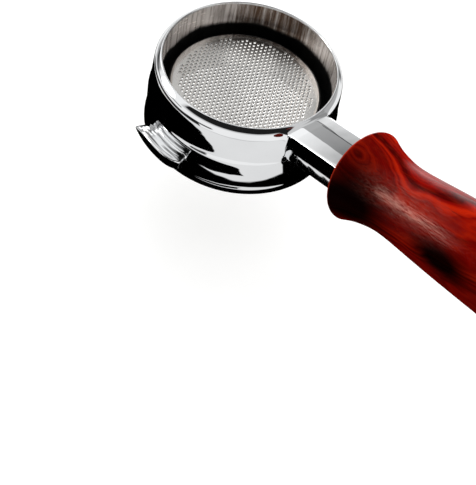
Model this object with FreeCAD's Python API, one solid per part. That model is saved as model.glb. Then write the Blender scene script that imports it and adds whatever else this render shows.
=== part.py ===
"""Bottomless portafilter of a 58 mm lever-group espresso machine, in millimetres.

The holder is one plated brass casting: an open ring, two bayonet lugs and a neck that droops
away from the rim. A pressed steel basket hangs in the ring and a wire spring holds it there.
A turned wooden grip is fixed to the neck by a stud.

Frame: the origin is on the ring's axis in the plane of its rim, +Z points out of the basket's
mouth and +X runs along the handle. "Station" is a distance along the handle's own axis, which
droops below +X, measured from the grip's front face.
"""

import FreeCAD, Part
import math
import os
from FreeCAD import Vector

# ---- ring of the holder -------------------------------------------------------------------
RIM_R = 35.5              # collar that enters the machine's group
RIM_H = 2.6
RIM_STEP = 0.4
WAIST_R = 35.1            # wall between the collar and the shoulder
WAIST_BOTTOM = -12.4
SHOULDER_R = 35.35
SHOULDER_Z = -14.2
SHOULDER_BEND = (35.2, -15.8)
WALL_TOP = -17.4          # below the shoulder the wall tapers gently to the lip
WALL_TOP_R = 34.7
WALL_FOOT = -28.0
WALL_FOOT_R = 34.2
LIP_BEND = (34.0, -28.9)
LIP_EDGE = (33.4, -29.6)  # crease where the wall turns into the lip's bevel
RING_H = 31.1
LIP_INNER_R = 31.4
LIP_ROUND = 0.6
BASKET_BORE_R = 30.25     # land that centres the basket
BORE_CHAMFER = 1.0
LAND_BOTTOM = -11.5
LAND_STEP = 0.75
RELIEF_R = 31.0
GROOVE_Z = -6.0           # groove for the basket spring
GROOVE_R = 31.4
GROOVE_HALF_H = 0.7
OVERRUN = 1.0             # how far cutting and joining shapes run past the surface they meet
NEAR = 0.1                # tolerance when edges are picked by where they lie

# ---- bayonet lugs -------------------------------------------------------------------------
LUG_R = 41.0
LUG_TOP = -6.0
LUG_H = 4.6
LUG_HALF_ANGLE = 18.0
LUG_CENTRES = (90.0, 270.0)
LUG_CORNER = 2.5          # rounding of the trailing corner, seen from above
LUG_EDGE = 0.4
LEAD_IN_LENGTH = 7.5      # ramp under the leading end
LEAD_IN_HEIGHT = 3.8
LUG_REACH = 12.0          # longer than the lug is deep, for the ramp's cut

# ---- neck and handle axis -----------------------------------------------------------------
DROOP = 15.0
GRIP_FACE = Vector(61.3, 0, -31.4)
NECK_SECTION = ((3.05, 6.0), (9.0, 5.45), (9.5, 0.0))  # half width and height of the corners
NECK_EDGE = 0.5
NECK_START = -34.0
NECK_END = -1.0
NECK_INSIDE_R = 31.6      # the bar ends inside the ring's wall, short of the bore
ROOT_FILLET = 0.6
ROOT_FROM = Vector(31, -11, -29)  # opposite corners of the box that holds the root's edges
ROOT_TO = Vector(37, 11, -14)
ROOT_SHORTEST = 2.0

# ---- stud, washer and insert (M8) ---------------------------------------------------------
STUD_R = 4.0
THREAD_CLEARANCE = 0.05
STUD_FROM = -16.0
STUD_TO = 20.0
STUD_CHAMFER = 0.8
TAPPED_DEPTH = 17.0
DRILL_POINT = 2.4
WASHER_R = 5.9
WASHER_BORE_R = 4.2
WASHER_SLIT = 1.0
SLIT_ANGLE = 25.0
INSERT_R = 7.0
INSERT_LENGTH = 24.0
INSERT_FLANGE_R = 8.2
INSERT_FLANGE_H = 2.0
INSERT_BARBS = 6
BARB_DEPTH = 0.5

# ---- grip ---------------------------------------------------------------------------------
GRIP_LENGTH = 122.0
GRIP_FACE_R = 15.1
GRIP_ROUND = (0.35, 16.1)
GRIP_RIM = (1.3, 16.5)    # station and radius of the flare's crest
GRIP_BODY = (
    (6.3, 14.6),
    (10.3, 13.6),
    (15.3, 12.8),
    (21.3, 12.7),
    (29.3, 13.2),
    (39.3, 13.9),
    (60.0, 15.0),
    (82.0, 15.7),
    (100.0, 15.1),
)
BUTT_STATION = 109.0      # where the long swell meets the rounded butt
BUTT_R = 14.3
BUTT_BULGE = (1.2, 1.4)   # how far the rounded edge stands out from its chord
CAP_SPHERE_R = 22.0       # domed end and the radius at which its rounded edge begins
CAP_R = 9.0
STUD_RELIEF_R = 4.6
STUD_RELIEF_TO = 32.0

# ---- basket -------------------------------------------------------------------------------
BASKET_R = 30.0
SHEET = 0.8
BASKET_DEPTH = 19.2       # rim plane to the outside of the floor
BASKET_LIP_R = 34.6
LIP_FROM_R = 28.0
BEND_R = 1.3
TAPER_START = -11.0
TAPER_END = -17.4
FOOT_R = 28.4
FOOT_ROUND = 1.8
HOLE_R = 0.4
HOLE_PITCH = 1.75
HOLE_FIELD_R = 24.4
PATTERN_TURN = -10.0      # rows of holes against +X

# ---- basket spring ------------------------------------------------------------------------
WIRE_R = 0.6
SPRING_R = 30.66
SPRING_ARC = 336.0

UP = Vector(0, 0, 1)
ORIGIN = Vector(0, 0, 0)
HANDLE_PLACE = FreeCAD.Placement(GRIP_FACE, FreeCAD.Rotation(Vector(0, 1, 0), DROOP))


def outline(*items):
    """Edges through (radius, height) points; a list of two points is an arc's middle and end."""
    edges = []
    here = None
    for item in items:
        if isinstance(item, list):
            middle, end = item
            edges.append(Part.Arc(flat(here), flat(middle), flat(end)).toShape())
            here = end
            continue
        if here is not None:
            edges.append(Part.makeLine(flat(here), flat(item)))
        here = item
    return edges


def flat(point):
    return Vector(point[0], 0, point[1])


def turned(edges):
    """Solid of revolution about Z from edges drawn in the XZ plane."""
    return Part.Face(Part.Wire(edges)).revolve(ORIGIN, UP, 360)


def along_handle(edges):
    """Solid of revolution about the handle's axis; edges hold (station, radius) points."""
    solid = Part.Face(Part.Wire(edges)).revolve(ORIGIN, Vector(1, 0, 0), 360)
    solid.Placement = HANDLE_PLACE
    return solid


def bend(centre, radius, start, end):
    """Arc item for outline(), from one angle to another in degrees."""
    angles = [math.radians((start + end) / 2), math.radians(end)]
    return [(centre[0] + radius * math.cos(a), centre[1] + radius * math.sin(a)) for a in angles]


def ring():
    top_of_groove = GROOVE_Z + GROOVE_HALF_H
    bottom_of_groove = GROOVE_Z - GROOVE_HALF_H
    round_centre = (LIP_INNER_R + LIP_ROUND, LIP_ROUND - RING_H)
    wall = outline(
        (BASKET_BORE_R + BORE_CHAMFER, 0),
        (RIM_R, 0),
        (RIM_R, -RIM_H),
        (WAIST_R, -RIM_H - RIM_STEP),
        (WAIST_R, WAIST_BOTTOM),
        (SHOULDER_R, SHOULDER_Z),
        [SHOULDER_BEND, (WALL_TOP_R, WALL_TOP)],
        (WALL_FOOT_R, WALL_FOOT),
        [LIP_BEND, LIP_EDGE],
        (round_centre[0], -RING_H),
        bend(round_centre, LIP_ROUND, 270, 180),
        (RELIEF_R, LAND_BOTTOM - LAND_STEP),
        (BASKET_BORE_R, LAND_BOTTOM),
        (BASKET_BORE_R, bottom_of_groove),
        (GROOVE_R, bottom_of_groove),
        (GROOVE_R, top_of_groove),
        (BASKET_BORE_R, top_of_groove),
        (BASKET_BORE_R, -BORE_CHAMFER),
        (BASKET_BORE_R + BORE_CHAMFER, 0),
    )
    return turned(wall)


def lug(centre):
    """One bayonet lug; the leading end, ramped underneath, is the counterclockwise one."""
    section = Part.makePolygon([
        Vector(WAIST_R - OVERRUN, 0, LUG_TOP),
        Vector(LUG_R, 0, LUG_TOP),
        Vector(LUG_R, 0, LUG_TOP - LUG_H),
        Vector(WAIST_R - OVERRUN, 0, LUG_TOP - LUG_H),
        Vector(WAIST_R - OVERRUN, 0, LUG_TOP),
    ])
    body = Part.Face(section).revolve(ORIGIN, UP, 2 * LUG_HALF_ANGLE)
    corner = [e for e in body.Edges if is_trailing_corner(e)]
    body = body.makeFillet(LUG_CORNER, corner)
    end_angle = math.radians(2 * LUG_HALF_ANGLE)
    outward = Vector(math.cos(end_angle), math.sin(end_angle), 0)
    back = Vector(math.sin(end_angle), -math.cos(end_angle), 0)
    slope = LEAD_IN_HEIGHT / LEAD_IN_LENGTH
    foot = outward * (WAIST_R - 2 * OVERRUN) + UP * (LUG_TOP - LUG_H - OVERRUN)
    ramp = Part.makePolygon([
        foot - back * OVERRUN,
        foot + back * (LEAD_IN_LENGTH + OVERRUN / slope),
        foot - back * OVERRUN + UP * (LEAD_IN_HEIGHT + OVERRUN + OVERRUN * slope),
        foot - back * OVERRUN,
    ])
    body = body.cut(Part.Face(ramp).extrude(outward * LUG_REACH))
    rim = [e for e in body.Edges if all(math.hypot(v.X, v.Y) > LUG_R - NEAR for v in e.Vertexes)]
    body = body.makeFillet(LUG_EDGE, rim)
    body.rotate(ORIGIN, UP, centre - LUG_HALF_ANGLE)
    return body


def is_trailing_corner(edge):
    box = edge.BoundBox
    return box.ZLength > LUG_H - NEAR and box.XMin > LUG_R - NEAR and abs(box.YMax) < NEAR


def neck():
    """Flat faceted bar along the handle's axis, with its long corners eased."""
    lower = tuple((y, -z) for y, z in reversed(NECK_SECTION[:-1]))
    one_side = NECK_SECTION + lower
    other_side = tuple((-y, z) for y, z in reversed(one_side))
    points = [Vector(NECK_START, y, z) for y, z in one_side + other_side]
    bar = Part.Face(Part.makePolygon(points + points[:1])).extrude(Vector(NECK_END - NECK_START, 0, 0))
    corner_y = NECK_SECTION[1][0]
    lengthwise = [e for e in bar.Edges if e.BoundBox.XLength > NEAR]
    bar = bar.makeFillet(NECK_EDGE, [e for e in lengthwise if abs(e.BoundBox.YMax) > corner_y - NEAR])
    bar.Placement = HANDLE_PLACE
    return bar.cut(Part.makeCylinder(NECK_INSIDE_R, 3 * RING_H, Vector(0, 0, -2 * RING_H)))


def filter_holder():
    body = ring().fuse(neck()).removeSplitter()
    roots = [e for e in body.Edges if is_neck_root(e)]
    body = body.makeFillet(ROOT_FILLET, roots)
    for centre in LUG_CENTRES:
        body = body.fuse(lug(centre))
    hole_r = STUD_R + THREAD_CLEARANCE
    bottom = NECK_END - TAPPED_DEPTH
    hole = along_handle(outline(
        (bottom - DRILL_POINT, 0),
        (bottom, hole_r),
        (NECK_END + OVERRUN, hole_r),
        (NECK_END + OVERRUN, 0),
        (bottom - DRILL_POINT, 0),
    ))
    return body.cut(hole).removeSplitter()


def is_neck_root(edge):
    """Edges where the neck's top and sides leave the ring's wall."""
    box = FreeCAD.BoundBox(ROOT_FROM, ROOT_TO)
    return box.isInside(edge.CenterOfMass) and edge.Length > ROOT_SHORTEST


def handle_stud():
    edge_r = STUD_R - STUD_CHAMFER
    return along_handle(outline(
        (STUD_FROM, 0),
        (STUD_FROM, edge_r),
        (STUD_FROM + STUD_CHAMFER, STUD_R),
        (STUD_TO - STUD_CHAMFER, STUD_R),
        (STUD_TO, edge_r),
        (STUD_TO, 0),
        (STUD_FROM, 0),
    ))


def spring_washer():
    """Split washer squeezed between the neck and the grip."""
    washer = along_handle(outline(
        (NECK_END, WASHER_BORE_R),
        (NECK_END, WASHER_R),
        (0, WASHER_R),
        (0, WASHER_BORE_R),
        (NECK_END, WASHER_BORE_R),
    ))
    length = -NECK_END + 2 * OVERRUN
    corner = Vector(NECK_END - OVERRUN, -WASHER_SLIT / 2, 0)
    slit = Part.makeBox(length, WASHER_SLIT, WASHER_R + OVERRUN, corner)
    slit.rotate(ORIGIN, UP, SLIT_ANGLE)
    slit.Placement = HANDLE_PLACE.multiply(slit.Placement)
    return washer.cut(slit)


def threaded_insert():
    """Flanged brass bush with barbs that bite into the wood."""
    bore_r = STUD_R + THREAD_CLEARANCE
    pitch = (INSERT_LENGTH - INSERT_FLANGE_H) / INSERT_BARBS
    steps = [(0, bore_r), (0, INSERT_FLANGE_R), (INSERT_FLANGE_H, INSERT_FLANGE_R)]
    for index in range(INSERT_BARBS):
        start = INSERT_FLANGE_H + index * pitch
        steps += [(start, INSERT_R), (start + pitch, INSERT_R - BARB_DEPTH)]
    steps += [(INSERT_LENGTH, bore_r), (0, bore_r)]
    return along_handle(outline(*steps))


def handle_grip():
    """Turned grip: rounded flare, waist, long swell and a domed butt."""
    cap_centre = (GRIP_LENGTH - CAP_SPHERE_R, 0)
    cap_edge = math.degrees(math.asin(CAP_R / CAP_SPHERE_R))
    cap_start = bend(cap_centre, CAP_SPHERE_R, 0, cap_edge)[1]
    body = Part.BSplineCurve()
    body.interpolate([flat(p) for p in (GRIP_RIM,) + GRIP_BODY + ((BUTT_STATION, BUTT_R),)])
    front = outline(
        (STUD_RELIEF_TO, 0),
        (STUD_RELIEF_TO, STUD_RELIEF_R),
        (INSERT_LENGTH, STUD_RELIEF_R),
        (INSERT_LENGTH, INSERT_R),
        (INSERT_FLANGE_H, INSERT_R),
        (INSERT_FLANGE_H, INSERT_FLANGE_R),
        (0, INSERT_FLANGE_R),
        (0, GRIP_FACE_R),
        [GRIP_ROUND, GRIP_RIM],
    )
    round_middle = (
        (BUTT_STATION + cap_start[0]) / 2 + BUTT_BULGE[0],
        (BUTT_R + CAP_R) / 2 + BUTT_BULGE[1],
    )
    butt = outline(
        (BUTT_STATION, BUTT_R),
        [round_middle, cap_start],
        bend(cap_centre, CAP_SPHERE_R, cap_edge, 0),
        (STUD_RELIEF_TO, 0),
    )
    return along_handle(front + [body.toShape()] + butt)


def basket_form(inset):
    """Solid plug of the basket's shape; inset 0 is its outside and SHEET its inside."""
    wall_r = BASKET_R - inset
    floor = inset - BASKET_DEPTH
    bend_centre = (BASKET_R + BEND_R, -BEND_R)
    foot_centre = (FOOT_R - FOOT_ROUND, FOOT_ROUND - BASKET_DEPTH)
    foot_round = FOOT_ROUND - inset
    return turned(outline(
        (0, floor),
        (foot_centre[0], floor),
        bend(foot_centre, foot_round, -90, 0),
        (wall_r, TAPER_START),
        (wall_r, bend_centre[1]),
        bend(bend_centre, BEND_R + inset, 180, 90),
        (bend_centre[0], SHEET + OVERRUN),
        (0, SHEET + OVERRUN),
        (0, floor),
    ))


def hole_centres():
    """Close-packed grid of points inside the perforated field."""
    row_step = HOLE_PITCH * math.sqrt(3) / 2
    rows = int(HOLE_FIELD_R / row_step)
    columns = int(HOLE_FIELD_R / HOLE_PITCH) + 1
    turn = FreeCAD.Rotation(UP, PATTERN_TURN)
    for row in range(-rows, rows + 1):
        for column in range(-columns, columns + 1):
            x = (column + (row % 2) / 2) * HOLE_PITCH
            y = row * row_step
            if math.hypot(x, y) <= HOLE_FIELD_R:
                yield turn.multVec(Vector(x, y, -BASKET_DEPTH))


def filter_basket():
    """Pressed sheet basket: rolled lip, straight wall, tapered foot and a perforated floor."""
    half = SHEET / 2
    lip = turned(outline(
        (LIP_FROM_R, 0),
        (BASKET_LIP_R - half, 0),
        bend((BASKET_LIP_R - half, half), half, -90, 90),
        (LIP_FROM_R, SHEET),
        (LIP_FROM_R, 0),
    ))
    floor_middle = Vector(0, 0, -BASKET_DEPTH)
    shell = basket_form(0).common(Part.makeCylinder(BASKET_LIP_R, BASKET_DEPTH, floor_middle))
    basket = shell.fuse(lip).cut(basket_form(SHEET))
    floor_r = HOLE_FIELD_R + HOLE_PITCH / 2
    circles = [Part.Wire(Part.makeCircle(HOLE_R, centre)) for centre in hole_centres()]
    boundary = Part.Wire(Part.makeCircle(floor_r, floor_middle))
    plate = Part.Face([boundary] + circles).extrude(UP * SHEET)
    window = Part.makeCylinder(floor_r, SHEET, floor_middle)
    return basket.cut(window).fuse(plate).removeSplitter()


def basket_spring():
    """Open wire ring that sits in the groove and grips the basket's wall."""
    start = Part.makeCircle(WIRE_R, Vector(SPRING_R, 0, GROOVE_Z), Vector(0, 1, 0))
    wire = Part.Face(Part.Wire(start)).revolve(ORIGIN, UP, SPRING_ARC)
    wire.rotate(ORIGIN, UP, -SPRING_ARC / 2)
    return wire


NODES = {
    "filter_holder": filter_holder,
    "filter_basket": filter_basket,
    "basket_spring": basket_spring,
    "handle_grip": handle_grip,
    "handle_stud": handle_stud,
    "threaded_insert": threaded_insert,
    "spring_washer": spring_washer,
}

os.makedirs("parts", exist_ok=True)
for name, build in NODES.items():
    shape = build()
    solids = shape.Solids
    assert len(solids) == 1 and solids[0].isValid(), name
    solids[0].exportStep(f"parts/{name}.step")
    print(name, round(solids[0].Volume, 1), "mm3")
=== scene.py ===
"""Looks of a bottomless portafilter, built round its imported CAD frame.

Lengths are metres in the CAD frame: the origin is on the ring's axis in the plane of its rim, +Z points
out of the basket's mouth and +X runs along the handle. Names ending in _MM are millimetres.
"""

import math

import bmesh
import bpy
import numpy as np
from mathutils import Matrix, Vector
from mathutils.geometry import delaunay_2d_cdt


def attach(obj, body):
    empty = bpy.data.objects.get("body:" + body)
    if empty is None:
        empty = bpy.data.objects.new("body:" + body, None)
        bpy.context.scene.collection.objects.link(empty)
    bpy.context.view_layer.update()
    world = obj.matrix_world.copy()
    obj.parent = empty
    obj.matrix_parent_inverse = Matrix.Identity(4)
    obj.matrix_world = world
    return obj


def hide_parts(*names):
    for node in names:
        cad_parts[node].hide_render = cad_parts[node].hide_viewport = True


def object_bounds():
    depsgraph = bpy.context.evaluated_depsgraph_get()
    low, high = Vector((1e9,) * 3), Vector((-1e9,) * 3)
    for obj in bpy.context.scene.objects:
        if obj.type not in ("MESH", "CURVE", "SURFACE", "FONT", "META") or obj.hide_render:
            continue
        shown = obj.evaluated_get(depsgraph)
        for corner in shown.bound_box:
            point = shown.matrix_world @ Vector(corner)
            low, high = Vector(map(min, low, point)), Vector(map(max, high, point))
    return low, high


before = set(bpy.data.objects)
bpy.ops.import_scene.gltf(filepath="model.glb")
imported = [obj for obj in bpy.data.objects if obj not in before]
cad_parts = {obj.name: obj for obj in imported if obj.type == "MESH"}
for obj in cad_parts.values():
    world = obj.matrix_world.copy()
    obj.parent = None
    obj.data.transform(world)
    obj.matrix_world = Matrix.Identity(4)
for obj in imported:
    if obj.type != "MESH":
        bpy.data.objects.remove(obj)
cad_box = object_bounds()

MM = 0.001

# ---- handle axis, shared by neck, stud and grip ----
DROOP = math.radians(15.0)
GRIP_FACE_MM = np.array([61.3, 0.0, -31.4])
ALONG = np.array([math.cos(DROOP), 0.0, -math.sin(DROOP)])
ACROSS = np.array([0.0, 1.0, 0.0])
UPWARD = np.array([math.sin(DROOP), 0.0, math.cos(DROOP)])


# ---- mesh helpers ----
def make_object(name, vertices_mm, faces, body, node, material):
    """Mesh object in metres that rides on a CAD body and stands for a CAD node."""
    mesh = bpy.data.meshes.new(name)
    mesh.from_pydata([tuple(v) for v in np.asarray(vertices_mm, float) * MM], [], faces)
    mesh.validate()
    tidy = bmesh.new()
    tidy.from_mesh(mesh)
    bmesh.ops.recalc_face_normals(tidy, faces=tidy.faces)
    tidy.to_mesh(mesh)
    tidy.free()
    mesh.polygons.foreach_set("use_smooth", [True] * len(mesh.polygons))
    mesh.materials.append(material)
    piece = bpy.data.objects.new(name, mesh)
    bpy.context.scene.collection.objects.link(piece)
    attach(piece, body)
    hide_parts(node)
    return piece


def handle_point(station, y, z):
    """Point at a station along the handle's axis, y across it and z above it."""
    return GRIP_FACE_MM + ALONG * station + ACROSS * y + UPWARD * z


def sharpen(piece, angle_deg):
    """Splits shading, not vertices, where faces meet at more than the given angle."""
    piece.data.set_sharp_from_angle(angle=math.radians(angle_deg))


def around(count):
    """Angles evenly spaced round a full turn."""
    return [2 * math.pi * k / count for k in range(count)]


# ---- plated holder: ring, neck and lugs as one subdivision surface ----
COLUMN_DEG = 6
COLUMNS = 360 // COLUMN_DEG
SWELL = 6 / (4 + 2 * math.cos(math.radians(COLUMN_DEG)))  # keeps the smoothed ring at its radius
NECK_COLUMNS = 3              # columns on each side of the neck's middle
NECK_Y_MM = (0.0, 3.05, 6.0, 9.0)
NECK_HALF_H_MM = (6.0, 6.0, 5.75, 5.45)
NECK_SIDE_MM = ((9.0, 5.45), (9.27, 2.7), (9.5, 0.0), (9.27, -2.7), (9.14, -4.1), (9.05, -5.0), (9.0, -5.45))
NECK_ROOT_MM = (0.9, 2.6)     # loops out from the wall, then at stations along the neck
NECK_LOOPS_MM = (-20.0, -11.0, -1.6)
ROOT_SINK_MM = 0.1            # the root lies this far inside the wall and is this much wider
ROOT_SPREAD = 1.04
NECK_END_MM = -1.0
END_ROUND = ((-0.12, 0.995), (0.0, 0.955))   # beyond the end, and share of the section's size
RIDGE_CREASE, CORNER_CREASE, WAISTLINE_CREASE = 0.9, 0.5, 0.4
BORE_MM = 4.05
BORE_DEPTH_MM = 17.0
BORE_TIP_MM = (2.0, 0.7)      # length of the drill's cone, and the radius it narrows to
BORE_MIDDLE_MM = -8.0
BORE_BEVEL_MM = ((0.0, 0.75), (-0.05, 0.45), (-0.5, 0.0))   # (beyond the end, wider than the bore)
NEAR_MM = 0.01
SMOOTHINGS = 2
LUG_COLUMNS = (12, 18)        # 72 to 108 degrees; the second lug is half a turn away
LUG_R_MM = 41.0
LUG_INSET_MM = 0.35           # of the lug's outer face from its edges
LUG_LOOPS_MM = ((35.9, 0.0), (38.5, 0.0), (40.6, 0.0), (LUG_R_MM, LUG_INSET_MM))   # (radius, inset)
LUG_ROUNDED_FROM_MM = 38.0    # outside this radius the trailing corner is cut off,
LUG_TRAIL_MM = 1.5            # by this much, over this share of the lug
LUG_TRAIL_SHARE = 1 / 6
LUG_CREASE = 0.35
INSET_DEG_PER_MM = 1.4
RAMP_RISE_MM = 3.8
RAMP_FROM = 0.72              # share of the lug's length where its lead-in begins

# (radius, height) of the cage's rows round the ring's section: from the rim out, down and up the bore.
OUTER_MM = (
    (31.7, 0.0), (33.4, 0.0), (35.1, 0.0), (35.42, -0.12), (35.5, -0.45), (35.5, -1.3), (35.48, -2.1),
    (35.36, -2.7), (35.2, -3.3), (35.12, -3.9), (35.1, -4.7),
    (35.1, -6.0), (35.13, -8.3), (35.17, -10.6),
    (35.2, -11.9), (35.22, -12.8), (35.26, -13.7), (35.28, -14.5), (35.2, -15.3), (34.95, -16.3),
    (34.76, -17.3),
    (34.7, -18.2), (34.58, -21.1), (34.44, -24.0), (34.3, -26.9), (34.15, -28.3), (33.62, -29.45),
    (33.0, -30.15),
    (32.3, -30.85), (31.95, -31.08),
)
INNER_MM = (
    (31.6, -31.0), (31.42, -30.7), (31.4, -30.2), (31.35, -27.5), (31.25, -23.0), (31.1, -17.0),
    (31.0, -13.0), (30.98, -12.3), (30.3, -11.6), (30.25, -11.2), (30.25, -9.0), (30.25, -6.95),
    (30.3, -6.72), (31.38, -6.68), (31.38, -5.32), (30.3, -5.28), (30.25, -5.05), (30.25, -3.0),
    (30.25, -1.35), (30.4, -0.95), (31.1, -0.22),
)
LUG_ROWS = (11, 13)           # indices into OUTER_MM of the lug's top and bottom
NECK_ROWS = (21, 27)          # and of the neck's top and bottom
WALL_GUESS_MM = -24.0         # station near the wall, from which wall_hit closes in
WALL_ROUNDS = 40


def wall_hit(y, z):
    """Station where a line along the handle's axis at (y, z) leaves the ring's wall."""
    profile = np.array(OUTER_MM[NECK_ROWS[0] - 4:NECK_ROWS[1] + 2])[::-1]
    station = WALL_GUESS_MM
    for _ in range(WALL_ROUNDS):
        x, _, height = handle_point(station, y, z)
        radius = np.interp(height, profile[:, 1], profile[:, 0])
        station += (math.sqrt(radius ** 2 - y ** 2) - x) / ALONG[0]
    return station


def neck_section():
    """(y, z) corners of the neck, clockwise from the top left, matching the ring's opening."""
    top = [(-y, h) for y, h in zip(NECK_Y_MM[:0:-1], NECK_HALF_H_MM[:0:-1])]
    top += list(zip(NECK_Y_MM, NECK_HALF_H_MM))
    side = list(NECK_SIDE_MM[1:-1])
    bottom = [(-y, -z) for y, z in top]
    return top + side + bottom + [(-y, z) for y, z in reversed(side)]


class Cage:
    """Control mesh under construction, with creased edges."""

    def __init__(self):
        self.points = []
        self.faces = []
        self.creases = {}

    def add(self, points):
        start = len(self.points)
        self.points += [np.array(p, float) for p in points]
        return list(range(start, start + len(points)))

    def strip(self, a, b):
        """Quads between two closed loops of the same length."""
        n = len(a)
        for i in range(n):
            self.faces.append((a[i], a[(i + 1) % n], b[(i + 1) % n], b[i]))

    def crease(self, loop_a, loop_b, index, value):
        self.creases[tuple(sorted((loop_a[index], loop_b[index])))] = value


def block_border(grid, columns, rows):
    """Indices round a rectangular block of the ring's grid, clockwise from the top left."""
    c0, c1 = columns
    r0, r1 = rows
    column = [c % COLUMNS for c in range(c0, c1 + 1)]
    top = [grid[r0][c] for c in column]
    right = [grid[r][column[-1]] for r in range(r0 + 1, r1)]
    bottom = [grid[r1][c] for c in reversed(column)]
    left = [grid[r][column[0]] for r in range(r1 - 1, r0, -1)]
    return top + right + bottom + left


def add_neck(cage, grid):
    section = neck_section()
    border = block_border(grid, (-NECK_COLUMNS, NECK_COLUMNS), NECK_ROWS)
    hits = [wall_hit(y, z) for y, z in section]
    for index, (y, z), station in zip(border, section, hits):
        cage.points[index] = handle_point(station - ROOT_SINK_MM, y * ROOT_SPREAD, z)
    creases = {}
    for i, (y, z) in enumerate(section):
        if abs(abs(y) - NECK_Y_MM[1]) < NEAR_MM:
            creases[i] = RIDGE_CREASE
        elif abs(abs(y) - NECK_Y_MM[-1]) < NEAR_MM:
            creases[i] = CORNER_CREASE
        elif abs(z) < NEAR_MM:
            creases[i] = WAISTLINE_CREASE
    previous = border

    def extend(points):
        loop = cage.add(points)
        cage.strip(previous, loop)
        return loop

    places = [[station + out for station in hits] for out in NECK_ROOT_MM]
    places += [[station] * len(section) for station in NECK_LOOPS_MM]
    for stations in places:
        loop = extend([handle_point(s, y, z) for s, (y, z) in zip(stations, section)])
        for i, value in creases.items():
            at_root = previous is border and value != RIDGE_CREASE
            cage.crease(previous, loop, i, 0.0 if at_root else value)
        previous = loop
    for beyond, share in END_ROUND:
        station = NECK_END_MM + beyond
        previous = extend([handle_point(station, y * share, z * share) for y, z in section])
    bottom = NECK_END_MM - BORE_DEPTH_MM
    bore = [(NECK_END_MM + beyond, BORE_MM + wider) for beyond, wider in BORE_BEVEL_MM]
    bore += [(BORE_MIDDLE_MM, BORE_MM), (bottom, BORE_MM), (bottom - BORE_TIP_MM[0], BORE_TIP_MM[1])]
    angles = [math.atan2(z, y) for y, z in section]
    for station, radius in bore:
        turned = [(radius * math.cos(a), radius * math.sin(a)) for a in angles]
        previous = extend([handle_point(station, y, z) for y, z in turned])
    cage.faces.append(tuple(previous))


def lug_underside(share):
    """Height of the lug's underside; the leading end, at share 1, is ramped."""
    ramp = max(0.0, (share - RAMP_FROM) / (1 - RAMP_FROM))
    return OUTER_MM[LUG_ROWS[1]][1] + RAMP_RISE_MM * ramp


def add_lug(cage, grid, first):
    columns = (first, first + LUG_COLUMNS[1] - LUG_COLUMNS[0])
    border = block_border(grid, columns, LUG_ROWS)
    spans = columns[1] - columns[0]
    top = OUTER_MM[LUG_ROWS[0]][1]

    def place(column, row_share, radius, pull):
        """Point on the lug: row_share 0 is its top, 1 its underside; pull insets it from the edges."""
        share = (column - columns[0]) / spans
        low = lug_underside(share)
        height = (top - pull) + (low - top + 2 * pull) * row_share
        angle = math.radians(column * COLUMN_DEG)
        if pull and column in columns:
            angle += math.radians(pull * INSET_DEG_PER_MM) * (1 if column == columns[0] else -1)
        if radius > LUG_ROUNDED_FROM_MM:
            radius -= LUG_TRAIL_MM * max(0.0, 1 - share / LUG_TRAIL_SHARE)
        return (radius * math.cos(angle), radius * math.sin(angle), height)

    column_range = list(range(columns[0], columns[1] + 1))
    shares = [(c, 0.0) for c in column_range] + [(columns[1], 0.5)]
    shares += [(c, 1.0) for c in reversed(column_range)] + [(columns[0], 0.5)]
    for index, (column, row_share) in zip(border, shares):
        cage.points[index] = np.array(place(column, row_share, OUTER_MM[LUG_ROWS[0]][0] * SWELL, 0.0))
    middle_row = [grid[LUG_ROWS[0] + 1][c % COLUMNS] for c in column_range[1:-1]]
    for index in middle_row:
        cage.points[index] = None      # no face uses them
    previous = border
    for radius, pull in LUG_LOOPS_MM:
        loop = cage.add([place(c, share, radius, pull) for c, share in shares])
        cage.strip(previous, loop)
        for i, (column, share) in enumerate(shares):
            if column in columns and share in (0.0, 1.0):
                cage.crease(previous, loop, i, 0.0 if previous is border else LUG_CREASE)
        previous = loop
    n = len(column_range)
    face_top = previous[:n]
    face_bottom = list(reversed(previous[n + 1:2 * n + 1]))
    middle = cage.add([place(c, 0.5, LUG_R_MM, LUG_INSET_MM) for c in column_range[1:-1]])
    face_middle = [previous[-1]] + middle + [previous[n]]
    for upper, lower in ((face_top, face_middle), (face_middle, face_bottom)):
        for i in range(n - 1):
            cage.faces.append((upper[i], upper[i + 1], lower[i + 1], lower[i]))


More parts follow.
